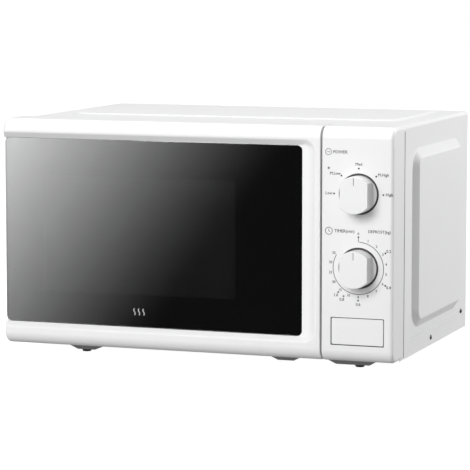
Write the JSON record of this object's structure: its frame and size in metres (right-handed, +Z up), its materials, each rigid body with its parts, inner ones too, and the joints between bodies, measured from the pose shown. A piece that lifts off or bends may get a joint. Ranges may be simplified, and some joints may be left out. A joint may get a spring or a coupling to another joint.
{
  "type": "microwave oven",
  "caption": "Countertop microwave oven with a left-hinged glass door, two rotary dials, a push-button door release and a rotating glass tray.",
  "frame": {"origin": "middle of the base, on the surface that the rubber feet stand on", "axes": "+Z up, +Y to the back of the oven, +X to the right when facing its door"},
  "size_m": [0.4424, 0.3574, 0.2583],
  "materials": {
    "cabinet_enamel": "semi-gloss white powder coat",
    "white_moulding": "satin moulded white plastic",
    "base_paint": "satin grey paint on pressed steel",
    "galvanised": "dull galvanised sheet",
    "cavity_enamel": "light grey baked enamel",
    "plated_steel": "bright zinc plating",
    "spring_wire": "drawn spring wire",
    "black_rubber": "matt black rubber",
    "mica": "pressed mica sheet",
    "magnetron_metal": "pressed steel and aluminium",
    "antenna_copper": "copper and ceramic",
    "core_laminations": "varnished laminations",
    "coil_copper": "varnished copper wire",
    "can_aluminium": "drawn can",
    "black_plastic": "black moulding",
    "grey_plastic": "grey moulding",
    "natural_plastic": "natural moulded plastic",
    "white_nylon": "white nylon",
    "red_plastic": "red moulding",
    "bakelite": "brown phenolic",
    "board_green": "green board",
    "lamp_glass": "clear glass bulb",
    "clear_glass": "clear tempered glass",
    "smoked_glass": "dark tinted glass with a printed back",
    "screen_steel": "perforated black enamelled steel",
    "choke_enamel": "grey enamelled pressed steel",
    "clear_film": "clear plastic sheet"
  },
  "bodies": {
    "oven": {"outer_cabinet": "cabinet_enamel", "cabinet_screws": "plated_steel", "base_plate": "base_paint", "rubber_feet": "black_rubber", "rear_panel": "galvanised", "front_plate": "cavity_enamel", "cavity_liner": "cavity_enamel", "waveguide": "galvanised", "waveguide_cover": "mica", "magnetron": "magnetron_metal", "magnetron_antenna": "antenna_copper", "transformer_core": "core_laminations", "transformer_coils": "coil_copper", "hv_capacitor": "can_aluminium", "capacitor_clamp": "galvanised", "hv_diode": "black_plastic", "fan_duct": "grey_plastic", "fan_motor": "core_laminations", "cavity_lamp": "lamp_glass", "thermal_cutout": "bakelite", "filter_board": "board_green", "turntable_motor": "plated_steel", "latch_bracket": "natural_plastic", "primary_switch": "black_plastic", "secondary_switch": "black_plastic", "monitor_switch": "black_plastic", "lever_axle": "plated_steel", "control_panel": "white_moulding", "panel_screws": "plated_steel", "lever_spring": "spring_wire", "timer_unit": "bakelite", "timer_bell": "plated_steel", "power_switch": "black_plastic", "upper_hinge": "plated_steel", "lower_hinge": "plated_steel", "cord_bush": "black_rubber"},
    "door": {"door_frame": "white_moulding", "door_glass": "smoked_glass", "door_choke": "choke_enamel", "window_screen": "screen_steel", "choke_cover": "grey_plastic", "inner_film": "clear_film", "latch_spring": "spring_wire"},
    "latch": {"latch_plate": "white_nylon"},
    "button": {"door_button": "white_moulding"},
    "lever": {"release_lever": "white_nylon"},
    "fan": {"fan_blade": "natural_plastic"},
    "table_drive": {"turntable_coupler": "white_nylon"},
    "ring": {"roller_ring": "natural_plastic"},
    "roller_a": {"rollers_a": "white_nylon"},
    "roller_b": {"rollers_b": "white_nylon"},
    "roller_c": {"rollers_c": "white_nylon"},
    "tray": {"glass_tray": "clear_glass"},
    "timer_dial": {"timer_shaft": "plated_steel", "timer_knob": "white_moulding"},
    "power_dial": {"power_shaft": "plated_steel", "power_knob": "white_moulding"},
    "primary_button": {"primary_plunger": "red_plastic"},
    "secondary_button": {"secondary_plunger": "red_plastic"},
    "monitor_button": {"monitor_plunger": "red_plastic"}
  },
  "joints": [
    {"name": "door_swing", "type": "hinge", "parent": "oven", "child": "door", "pos_m": [-0.21375, -0.12915, 0.1318], "axis": [0, 0, -1], "range_deg": [0, 100]},
    {"name": "latch_lift", "type": "slide", "parent": "door", "child": "latch", "axis": [0, 0, 1], "range_m": [0, 0.0045], "stiffness_N_per_m": 200, "springref_m": -0.002, "deforming": ["latch_spring"]},
    {"name": "button_press", "type": "slide", "parent": "oven", "child": "button", "axis": [0, 1, 0], "range_m": [0, 0.006], "stiffness_N_per_m": 300, "springref_m": -0.002},
    {"name": "lever_turn", "type": "hinge", "parent": "oven", "child": "lever", "pos_m": [0.1814, -0.10615, 0.0618], "axis": [1, 0, 0], "range_deg": [0, 22.4]},
    {"name": "fan_spin", "type": "hinge", "parent": "oven", "child": "fan", "pos_m": [0.1615, 0.12235, 0.1538], "axis": [0, 1, 0], "continuous": true},
    {"name": "table_spin", "type": "hinge", "parent": "oven", "child": "table_drive", "pos_m": [-0.04475, 0.02555, 0.0418], "axis": [0, 0, 1], "continuous": true},
    {"name": "tray_lift", "type": "slide", "parent": "table_drive", "child": "tray", "axis": [0, 0, 1], "range_m": [0, 0.03]},
    {"name": "ring_spin", "type": "hinge", "parent": "oven", "child": "ring", "pos_m": [-0.04475, 0.02555, 0.0418], "axis": [0, 0, 1], "continuous": true},
    {"name": "roller_a_spin", "type": "hinge", "parent": "ring", "child": "roller_a", "pos_m": [-0.04475, 0.11255, 0.0428], "axis": [0, 1, 0], "continuous": true},
    {"name": "roller_b_spin", "type": "hinge", "parent": "ring", "child": "roller_b", "pos_m": [-0.12009, -0.01795, 0.0428], "axis": [-0.866, -0.5, 0], "continuous": true},
    {"name": "roller_c_spin", "type": "hinge", "parent": "ring", "child": "roller_c", "pos_m": [0.03059, -0.01795, 0.0428], "axis": [0.866, -0.5, 0], "continuous": true},
    {"name": "power_turn", "type": "hinge", "parent": "oven", "child": "power_dial", "pos_m": [0.18225, -0.16015, 0.1891], "axis": [0, 1, 0], "range_deg": [-90, 90]},
    {"name": "timer_turn", "type": "hinge", "parent": "oven", "child": "timer_dial", "pos_m": [0.18225, -0.16015, 0.1123], "axis": [0, 1, 0], "range_deg": [0, 300]},
    {"name": "primary_press", "type": "slide", "parent": "oven", "child": "primary_button", "axis": [0, 1, 0], "range_m": [0, 0.001], "stiffness_N_per_m": 100, "springref_m": -0.001},
    {"name": "secondary_press", "type": "slide", "parent": "oven", "child": "secondary_button", "axis": [0, 1, 0], "range_m": [0, 0.001], "stiffness_N_per_m": 100, "springref_m": -0.001},
    {"name": "monitor_press", "type": "slide", "parent": "oven", "child": "monitor_button", "axis": [0, 1, 0], "range_m": [0, 0.001], "stiffness_N_per_m": 100, "springref_m": -0.001}
  ],
  "couplings": [
    {"joint": "latch_lift", "follows": "button_press", "ratio": 0.75},
    {"joint": "lever_turn", "follows": "button_press", "rad_per_m": 65},
    {"joint": "ring_spin", "follows": "table_spin", "ratio": 0.5},
    {"joint": "roller_a_spin", "follows": "table_spin", "ratio": -6.3043},
    {"joint": "roller_b_spin", "follows": "table_spin", "ratio": -6.3043},
    {"joint": "roller_c_spin", "follows": "table_spin", "ratio": -6.3043}
  ]
}
